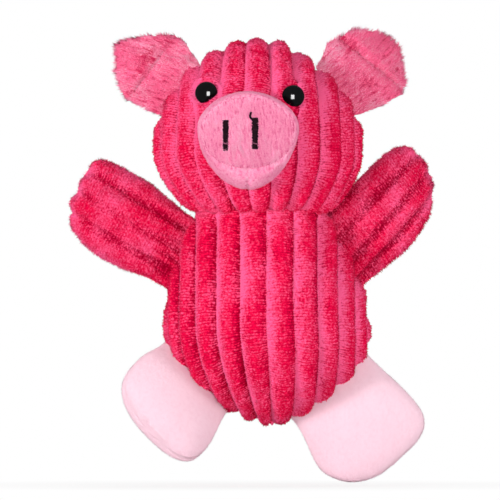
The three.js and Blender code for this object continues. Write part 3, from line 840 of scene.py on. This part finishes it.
FOOT_DROP = {"left": 45.0, "right": 48.5}
FOOT_KICK = {"left": 38.0, "right": 8.0}
FOOT_LENGTH = {"left": 35.6, "right": 39.4}
FOOT_EDGES = {
    "left": (
        sewn_edge(-3, 23.2, 2.4, 14, 16, FOOT_LENGTH["left"], 2.5),
        sewn_edge(-3, -14.0, -4.6, 24, 24, FOOT_LENGTH["left"], 2.6),
    ),
    "right": (
        sewn_edge(2, 18.0, 5.2, 24, 18, FOOT_LENGTH["right"], 2.15),
        sewn_edge(2, -21.7, -1.7, 24, 22, FOOT_LENGTH["right"], 3.6),
    ),
}


def make_foot(side):
    """Two panels of very short pile."""
    length = FOOT_LENGTH[side]
    limb = Limb(f"foot_{side}_swing", -FOOT_DROP[side], length, sink=3.0, kick=FOOT_KICK[side])
    seed = 500 + 50 * FLIP[side]
    thick = stuffed_depth(root=6.4, full=9.5, grown=18, turns=16, end=length, roundness=2.6)

    def relief_of(base, *place):
        relief, marks = short_pile(base, seed, lump=0.15, comb=FOOT_CLOTH.pile.comb, strand=(0.8, 1.2))
        return relief * 0.5, marks

    counts = counted(120), counted(120)
    panels = limb_panels(
        f"foot_{side}", limb, FOOT_EDGES[side], thick, counts, relief_of, FOOT_CLOTH, seed, fullness=0.72
    )
    return limb, covering(f"foot_{side}", panels)


# Snout, whose rises are counted up from the height of its root's middle

SNOUT_X, SNOUT_HEIGHT = -1.8, 137.8
SNOUT_ROOT_Y = -24.0
RIM_HALF_WIDTH, RIM_HALF_HEIGHT, RIM_RISE = 18.9, 14.2, 2.4
BAND_HALF_WIDTH, BAND_UP, BAND_DOWN, BAND_RISE = 20.0, 14.2, 24.4, 4.6
BAND_RUN, BAND_CURL = 19.0, 8.5
# The face is a crown in front of its rim
FACE_CROWN, CROWN_ROUNDNESS = 2.2, 2.2
RIM_Y = from_frame(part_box("snout_face")[0])[1] + 1.6
FACE_REACH = 16.0


def band_outline(sine, cosine):
    """The outline of the snout's root, drawn in to a soft point at the chin."""
    power = np.where(sine < 0, 1.8 - 0.05 * cosine, 1.85)
    reach = (np.abs(cosine) ** power + np.abs(sine) ** power) ** (-1 / power)
    height = np.where(sine < 0, BAND_DOWN, BAND_UP) * sine * reach + BAND_RISE
    return np.stack([BAND_HALF_WIDTH * cosine * reach, height], -1)


def closed(grid):
    """A grid of points or marks that goes round, with its first column met again."""
    return np.concatenate([grid, grid[:, :1]], 1)


def snout_piece(name, base, relief, marks, cloth, seed):
    """A closed piece of the snout, in the place of its CAD node."""
    points = base + grid_normals(base, around=True) * relief[..., None]
    marks = {key: closed(values) for key, values in marks.items()}
    piece = piled_mesh(f"{name}_plush", closed(points), marks, cloth, seed)
    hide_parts(name)
    return piece


def snout_pile(base, seed):
    return short_pile(base, seed, lump=0.2, comb=SNOUT_COMB, strand=(0.5, 2.0))


def make_snout_band(sine, cosine, rim):
    """The side wall, which runs out from the head and curls in to the rim."""
    share = np.linspace(0, 1, counted(120) + 1)[:, None]
    behind = (1 - share) ** 1.35
    blend = (1 - np.sqrt(1 - np.clip(1 - behind * BAND_RUN / BAND_CURL, 0, 1) ** 2))[..., None]
    outline = band_outline(sine, cosine) * (1 - blend) + rim * blend
    depth = np.broadcast_to(SNOUT_ROOT_Y + (RIM_Y - SNOUT_ROOT_Y) * (1 - behind), outline.shape[:2])
    base = np.stack([SNOUT_X + outline[..., 0], depth, SNOUT_HEIGHT + outline[..., 1]], -1)
    relief, marks = snout_pile(base, 700)
    # Painted shade along the rim's seam and in the seam under the chin
    relief, marks = seam_line(relief, marks, (1 - share) * BAND_RUN, width=0.7, depth=0.25, dark=0.2)
    chin_seam = np.abs(base[..., 0] - SNOUT_X + 0.4 + 0.5 * np.sin(base[..., 1] * 0.9))
    below = ease((SNOUT_HEIGHT - 8 - base[..., 2]) / 3)
    relief = relief - 0.7 * bump_at(chin_seam, 0, 0.9) * below
    marks = with_painted_shade(marks, 0.7 * bump_at(chin_seam, 0, 0.5) * below)
    return snout_piece("snout_band", base, relief, marks, BAND_CLOTH, 700)


def make_snout_face(rim):
    """The oval front, crowned a little and sewn to the rim."""
    inner = np.linspace(1, 0, counted(130) + 1)[:, None]
    width, height = rim[..., 0] * inner, (rim[..., 1] - RIM_RISE) * inner
    depth = np.broadcast_to(RIM_Y - FACE_CROWN * (1 - inner ** CROWN_ROUNDNESS), width.shape)
    base = np.stack([SNOUT_X + width, depth, SNOUT_HEIGHT + RIM_RISE + height], -1)
    relief, marks = snout_pile(base, 720)
    # Painted shade along the seam round the face
    relief, marks = seam_line(relief, marks, (1 - inner) * FACE_REACH, width=0.8, depth=0.3, dark=0.75)
    return snout_piece("snout_face", base, relief, marks, FACE_CLOTH, 720)


def make_snout():
    """A band that runs out from the head and an oval face sewn to its rim."""
    angles = np.linspace(0, 2 * math.pi, counted(300), endpoint=False)[None, :]
    sine, cosine = np.sin(angles), np.cos(angles)
    rim = np.stack([RIM_HALF_WIDTH * cosine, RIM_HALF_HEIGHT * sine + RIM_RISE], -1)
    band = make_snout_band(sine, cosine, rim)
    face = make_snout_face(rim)
    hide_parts("snout_stuffing")
    return band, face


# Ears, each by the places of its two edges: how far along, and how far across
EAR_TOP_EDGE = {
    "left": ((-4, 13.0), (-1.2, 14.0), (9.7, 17.6), (14, 15.3), (22.1, 9.3), (27.5, 4.2), (30.0, 0.9)),
    "right": (
        (-4, 12.9), (-3.2, 13.3), (5.4, 18.6), (8.0, 18.5), (16.6, 16.2), (22.3, 12.6), (26.5, 8.0),
        (28.5, 1.0),
    ),
}
EAR_BOTTOM_EDGE = {
    "left": ((-4, -11.8), (-1.7, -12.3), (10.5, -14.3), (13.2, -14.5), (16, -12.6), (23, -7.0), (30.0, 0.9)),
    "right": (
        (-4, -11.0), (-1.1, -11.7), (4.2, -13.1), (11.7, -14.2), (18.2, -14.7), (21.8, -11.1), (25.4, -4.7),
        (28.5, 1.0),
    ),
}
EAR_CREASE = {"left": ((13.2, -14.0), (12.0, 15.3)), "right": ((12.0, 12.2), (18.6, -9.0))}
EAR_LENGTH = {"left": 30.0, "right": 28.5}
EAR_HALF_DEPTH, EAR_EDGE_HALF_DEPTH = 2.7, 0.15
# Painted shadow by the ear's fold: how far past the crease, how far up it, how wide, how tall and how deep
EAR_SHADES = {
    "left": ((3.6, 0.62, 3.6, 0.24, 1.0), (2.6, 0.1, 2.2, 0.1, 0.5), (1.5, 0.93, 1.6, 0.08, 0.7)),
    "right": ((4.0, 0.12, 2.6, 0.12, 0.8), (0.8, 0.98, 2.0, 0.1, 0.8), (-7.0, 0.3, 5.0, 0.3, 0.45)),
}


def ear_edge(places, sign):
    """An edge of an ear, by how far across it lies at each place along it."""
    reach, across = zip(*places)
    return lambda along: sign * np.interp(along, reach, across)


def make_ear(side):
    """A thin leaf of long pile, creased across and puffed past the crease."""
    sign = -FLIP[side]
    chord = JOINTS[f"ear_{side}_flop"]["axis"]
    rise = math.degrees(math.atan2(sign * chord[0], chord[2]))
    length = EAR_LENGTH[side]
    limb = Limb(f"ear_{side}_flop", rise, length, sink=4.0)
    seed = 800 - 50 * sign
    edges = [ear_edge(places[side], sign) for places in (EAR_TOP_EDGE, EAR_BOTTOM_EDGE)][::sign]
    (start, start_across), (end, end_across) = EAR_CREASE[side]
    crease_run, crease_rise = end - start, end_across - start_across
    up_sign = 1 if crease_rise > 0 else -1

    def beyond(along, across):
        """How far past the crease a place lies, and how far up it as a share."""
        run, rise = along - start, sign * across - start_across
        size = math.hypot(crease_run, crease_rise)
        past = (run * crease_rise - rise * crease_run) / size * up_sign
        up = (run * crease_run + rise * crease_rise) / size ** 2
        return past, np.clip(up if up_sign > 0 else 1 - up, 0, 1)

    def thick(along):
        return EAR_HALF_DEPTH * rounded((along - 12) / (length + 0.2 - 12), 2.2) + EAR_EDGE_HALF_DEPTH

    def relief_of(base, along, across, high, low):
        relief, marks = short_pile(base, seed, lump=0.35, comb=EAR_COMBS[side], strand=(0.55, 2.4))
        past, up = beyond(along, across)
        front = (base - limb.point) @ limb.depth < 0.0
        crease = 0.8 * bump_at(past, 0, 0.7)
        puff = 1.1 * ease((past - 0.2) / (1.2 + 3.0 * up)) * ease((length - along) / 9)
        relief = relief + np.where(front, puff - crease, crease)
        # Painted shadow by the fold with darker patches, and painted shade along the crease
        shade = 0.35 * noise(base, 5.0, seed + 61) + sum(
            strength * bump_at(past, far, wide) * bump_at(up, height, tall)
            for far, height, wide, tall, strength in EAR_SHADES[side]
        )
        shade = np.clip(shade, 0, 1) * front
        marks["brushed"] = marks["brushed"] + 0.35 * noise(base, 8.0, seed + 67) - 0.9 * shade
        marks = with_painted_shade(marks, np.maximum(0.85 * shade, 0.9 * bump_at(past, 0, 0.4) * front))
        return relief, marks

    counts = counted(130), counted(120)
    panels = limb_panels(f"ear_{side}", limb, edges, thick, counts, relief_of, EAR_CLOTHS[side], seed)
    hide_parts(f"ear_{side}")
    return limb, panels


# Eyes, nostrils and thread

EYE_RADIUS, EYE_RISE = 4.5, 2.1
EYE_SUNK = 0.7
# How far the dome comes down, as a share of a quarter turn, and the rim under it, by radius and height
DOME_END = 0.98685
DOME_ROWS, RIM_ROWS, EYE_COLUMNS = 35, 29, 72
EYE_RIM = ((4.36, 0.3), (4.5, -0.25), (4.42, -0.7), (4.1, -1.0), (3.2, -1.2), (0.0, -1.25))


def make_eye(side, material):
    """A glossy dome on a thin rim, pressed a little way into the pile."""
    x, z = EYE_PLACES[side]
    step = 0.5
    across = np.array([2 * step, head_front(x + step, z) - head_front(x - step, z), 0])
    up = np.array([0, head_front(x, z + step) - head_front(x, z - step), 2 * step])
    facing = unit(unit(np.cross(across, up)) * 0.15 + np.array([0, -1, 0]) * 0.85)
    side_way = unit(np.cross([0, 0, 1], facing))
    top_way = np.cross(facing, side_way)

    dome = np.linspace(0, DOME_END, DOME_ROWS) * math.pi / 2
    along = np.linspace(1 / 9, len(EYE_RIM) - 1, RIM_ROWS)
    rim_radius, rim_height = (np.interp(along, range(len(EYE_RIM)), values) for values in zip(*EYE_RIM))
    radius = np.concatenate([EYE_RADIUS * np.sin(dome), rim_radius])[:, None, None]
    height = np.concatenate([EYE_RISE * np.cos(dome), rim_height])[:, None, None]
    turn = np.linspace(0, 2 * math.pi, EYE_COLUMNS, endpoint=False)[:, None]
    centre = np.array([x, float(head_front(x, z)) - EYE_SUNK, z])
    points = centre + radius * (np.cos(turn) * side_way + np.sin(turn) * top_way) + height * facing
    faces = grid_faces(DOME_ROWS + RIM_ROWS, EYE_COLUMNS, around=True)[:, ::-1]
    piece = mesh_object(f"eye_{side}_dome", points, [faces], material)
    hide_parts(f"eye_{side}")
    return piece


# Pixels of the photograph: where its middle and its floor lie, and the corners of each nostril
PHOTO_MIDDLE, PHOTO_FLOOR, MM_PER_PIXEL = 252.5, 484, 0.4
NOSTRILS = {"left": ((222.6, 120.7), (228.8, 152.0)), "right": ((251.6, 118.5), (258.3, 150.2))}
THREAD_END = ((252.9, 120.6), (251.2, 119.6), (250.0, 117.4), (250.6, 114.8), (251.0, 112.9))
THREAD_RADIUS = 0.42

# A satin stitch over a nostril, in millimetres
STITCH_PITCH, STITCH_SLANT = 0.42, 0.35
NOSTRIL_RISE, NOSTRIL_SUNK, NOSTRIL_END = 0.95, 0.35, 0.5


def from_photo(px, py):
    """A pixel of the photograph as x and z, in millimetres, at the middle of the pig."""
    return (px - PHOTO_MIDDLE) * MM_PER_PIXEL, (PHOTO_FLOOR - py) * MM_PER_PIXEL


def face_y(x, z):
    """The y of the snout's face at a place."""
    inner = np.hypot((x - SNOUT_X) / RIM_HALF_WIDTH, (z - SNOUT_HEIGHT - RIM_RISE) / RIM_HALF_HEIGHT)
    return RIM_Y - FACE_CROWN * (1 - np.clip(inner, 0, 1) ** CROWN_ROUNDNESS)


def make_nostril(side, material):
    """A bar of satin stitches, each a thread over the bar's width."""
    (x0, z1), (x1, z0) = (from_photo(*corner) for corner in NOSTRILS[side])
    rows, columns = 220, 26
    up, across = np.meshgrid(np.linspace(0, 1, rows), np.linspace(-1, 1, columns), indexing="ij")
    z = z0 + (z1 - z0) * up
    stitch = (z + STITCH_SLANT * across) / STITCH_PITCH
    thread = np.abs(np.sin(np.pi * stitch))
    ragged = 0.2 * corner_value(np.stack([np.floor(stitch), np.sign(across)], -1), 31)
    worn = ease(corner_value(np.floor(stitch)[..., None], 37) * 3 - 1.9) * (0.4 + 0.6 * thread)
    x = (x0 + x1) / 2 + (x1 - x0) / 2 * (1 + ragged) * across
    end = np.minimum(up, 1 - up) * (z1 - z0)
    dome = np.sqrt(1 - across ** 2) * np.sqrt(np.clip(end / NOSTRIL_END, 0, 1))
    y = face_y(x, z) - (NOSTRIL_RISE + 0.2 * thread) * dome + NOSTRIL_SUNK
    marks = {"worn": worn * ease(1.4 - 2 * up)}
    piece = mesh_object(
        f"nostril_{side}_stitches", np.stack([x, y, z], -1), [grid_faces(rows, columns)], material, marks
    )
    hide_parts(f"nostril_{side}")
    return piece


def tube(name, path, radius, material, sides=8):
    """A round thread along a path of points."""
    way = unit(np.gradient(path, axis=0))
    first = unit(np.cross(way, [0.0, 1.0, 0.1]))
    second = np.cross(way, first)
    turn = np.linspace(0, 2 * math.pi, sides, endpoint=False)[:, None]
    ring = np.cos(turn) * first[:, None] + np.sin(turn) * second[:, None]
    return mesh_object(name, path[:, None] + radius * ring, [grid_faces(len(path), sides, True)], material)


def smooth_path(points, count):
    """A smooth path through a few points."""
    points = np.asarray(points, float)
    padded = np.vstack([2 * points[0] - points[1], points, 2 * points[-1] - points[-2]])
    at = np.linspace(0, len(points) - 1, count)
    low = np.minimum(at.astype(int), len(points) - 2)
    t = (at - low)[:, None]
    a, b, c, d = (padded[low + k] for k in range(4))
    bend, swing = 2 * a - 5 * b + 4 * c - d, 3 * b - a - 3 * c + d
    return 0.5 * (2 * b + (c - a) * t + bend * t ** 2 + swing * t ** 3)


def make_thread_end(material):
    """The loose end of thread at the top of the right nostril, which lifts off the face."""
    path = []
    for number, (px, py) in enumerate(THREAD_END):
        x, z = from_photo(px, py)
        path.append((x, face_y(x, z) - 0.35 - 0.12 * number, z))
    piece = tube("nostril_thread_end", smooth_path(path, 40), THREAD_RADIUS, material)
    return piece


def plastic_finish():
    finish = new_finish("black_eye_plastic")
    scuff = finish.grain(0.0012)
    return finish.shaded({
        "Base Color": finish.between((scuff * 1.2 - 0.2).held(), ink(2, 2, 3), ink(9, 8, 11)),
        "Roughness": 0.05 + scuff * 0.05,
        "Normal": finish.raised(finish.grain(0.004, 2.0), 0.00002, 0.15),
        "Specular IOR Level": 0.08,
    })


def thread_finish():
    finish = new_finish("black_thread")
    twist = finish.grain(0.00035, 3.0, (1, 1, 3))
    worn = (twist * 0.16 - 0.05 + finish.stored("worn") * 0.8).held()
    return finish.shaded({
        "Base Color": finish.between(worn, ink(5, 2, 6), ink(168, 96, 124)),
        "Roughness": 0.5 + twist * 0.25,
        "Normal": finish.raised(twist, 0.0001),
        "Specular IOR Level": 0.02,
    })


def washer_finish():
    finish = new_finish("white_washer_plastic")
    grain = finish.grain(0.0009)
    return finish.shaded({
        "Base Color": finish.between(grain, ink(214, 212, 206), ink(236, 234, 229)),
        "Roughness": 0.38 + grain * 0.15,
        "Normal": finish.raised(grain, 0.00005, 0.4),
    })


# The whole pig

# The makers of the limbs, what each is sewn to, and how far along it the bend at its seam reaches
LIMBS = {"arm": (make_arm, "torso", 12), "foot": (make_foot, "torso", 11), "ear": (make_ear, "head", 7)}

for maker in (make_torso, make_head):
    for piece in maker():
        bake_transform(piece)
for side in SIDES:
    for part, (maker, parent, reach) in LIMBS.items():
        limb, panels = maker(side)
        for piece in panels:
            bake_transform(piece)
for piece in make_snout():
    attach(piece, "head")
eye_plastic, thread = plastic_finish(), thread_finish()
for side in SIDES:
    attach(make_eye(side, eye_plastic), "head")
    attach(make_nostril(side, thread), "head")
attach(make_thread_end(thread), "head")
washers = washer_finish()
for side in SIDES:
    for material_slot in bpy.data.objects[f"eye_washer_{side}"].material_slots:
        material_slot.material = washers
for thing in list(bpy.data.objects):
    if thing.name.endswith(("_panel", "_plush")):
        0.8 if "arm" in thing.name else 0.9


# Floor, light and camera, in metres

WHITE = (1, 1, 1, 1)
SKY_STRENGTH = 0.36
# The floor near the pig keeps a share of its own shade, which fades out between two distances
FLOOR_GREY, FLOOR_DROP, FLOOR_SIZE = 0.86, 0.0006, 6
FLOOR_FADE = {"From Min": 0.04, "From Max": 0.17, "To Min": 0.82, "To Max": 1.0}


def shown_white(finish, own, white, share=1.0):
    """White by a share for the camera and in reflections, and its own look for everything else."""
    rays = ("Is Camera Ray", "Is Glossy Ray", "Is Transmission Ray")
    seen = sum(finish.node("ShaderNodeLightPath", out=ray) for ray in rays)
    return finish.node("ShaderNodeMixShader", {}, {0: seen.held() * share, 1: own, 2: white})


def make_world():
    world = bpy.data.worlds.new("studio")
    bpy.context.scene.world = world
    finish = Finish(world)
    soft, white = (
        finish.node("ShaderNodeBackground", {}, {"Color": WHITE, "Strength": strength})
        for strength in (SKY_STRENGTH, 1.0)
    )
    finish.node("ShaderNodeOutputWorld", {}, {"Surface": shown_white(finish, soft, white)})


def make_floor():
    bpy.ops.mesh.primitive_plane_add(size=FLOOR_SIZE, location=(0, 0, cad_box[0].z - FLOOR_DROP))
    floor = bpy.context.object
    floor.name = "floor"
    finish = new_finish("pale_floor")
    paint = finish.node("ShaderNodeBsdfDiffuse", {}, {"Color": (FLOOR_GREY, FLOOR_GREY, FLOOR_GREY, 1)})
    white = finish.node("ShaderNodeEmission", {}, {"Color": WHITE, "Strength": 1.0})
    far = finish.node("ShaderNodeVectorMath", {"operation": "LENGTH"}, {0: finish.place()}, out="Value")
    fade = finish.node("ShaderNodeMapRange", {}, {"Value": far} | FLOOR_FADE)
    finish.node("ShaderNodeOutputMaterial", {}, {"Surface": shown_white(finish, paint, white, fade)})
    floor.data.materials.append(finish.owner)


# Each lamp's place, size and watts
LAMPS = {
    "key_lamp": ((-1.25, -1.05, 0.28), 0.35, 13.6),
    "back_lamp": ((0.4, 1.2, 0.9), 0.6, 8),
    "front_lamp": ((0.06, -1.4, 0.09), 0.32, 7.5),
    "fill_lamp": ((1.2, -1.1, 0.25), 0.5, 6.6),
}
LAMP_AIM = (0, 0, 0.095)


def make_lamp(name, spot, size, watts, height=None):
    """A round lamp, or one with a height for the glint in the eyes alone."""
    data = bpy.data.lights.new(name, "AREA")
    data.shape = "RECTANGLE" if height else "DISK"
    data.size = size
    data.size_y = height or size
    data.energy = watts
    lamp = bpy.data.objects.new(name, data)
    bpy.context.collection.objects.link(lamp)
    lamp.location = spot
    lamp.rotation_euler = (Vector(LAMP_AIM) - Vector(spot)).to_track_quat("-Z", "Y").to_euler()
    lamp.visible_glossy = bool(height)
    lamp.visible_diffuse = not height


CAMERA_X, CAMERA_HEIGHT, CAMERA_DISTANCE = -0.0031, 0.0934, 7.0
PICTURE_WIDTH = 0.2
SENSOR_MM = 36


def make_camera():
    data = bpy.data.cameras.new("camera")
    camera = bpy.data.objects.new("camera", data)
    bpy.context.collection.objects.link(camera)
    data.sensor_width = SENSOR_MM
    data.lens = SENSOR_MM * CAMERA_DISTANCE / PICTURE_WIDTH
    data.clip_end = 50
    camera.location = (CAMERA_X, SHIFT[1] - CAMERA_DISTANCE, CAMERA_HEIGHT)
    camera.rotation_euler = (math.pi / 2, 0, 0)
    bpy.context.scene.camera = camera


make_world()
make_floor()
for name, lamp in LAMPS.items():
    make_lamp(name, *lamp)
make_lamp("glint_lamp", (0.06, -1.35, 0.2), 0.36, 80, height=0.56)
make_camera()
bpy.context.scene.view_settings.view_transform = "Standard"
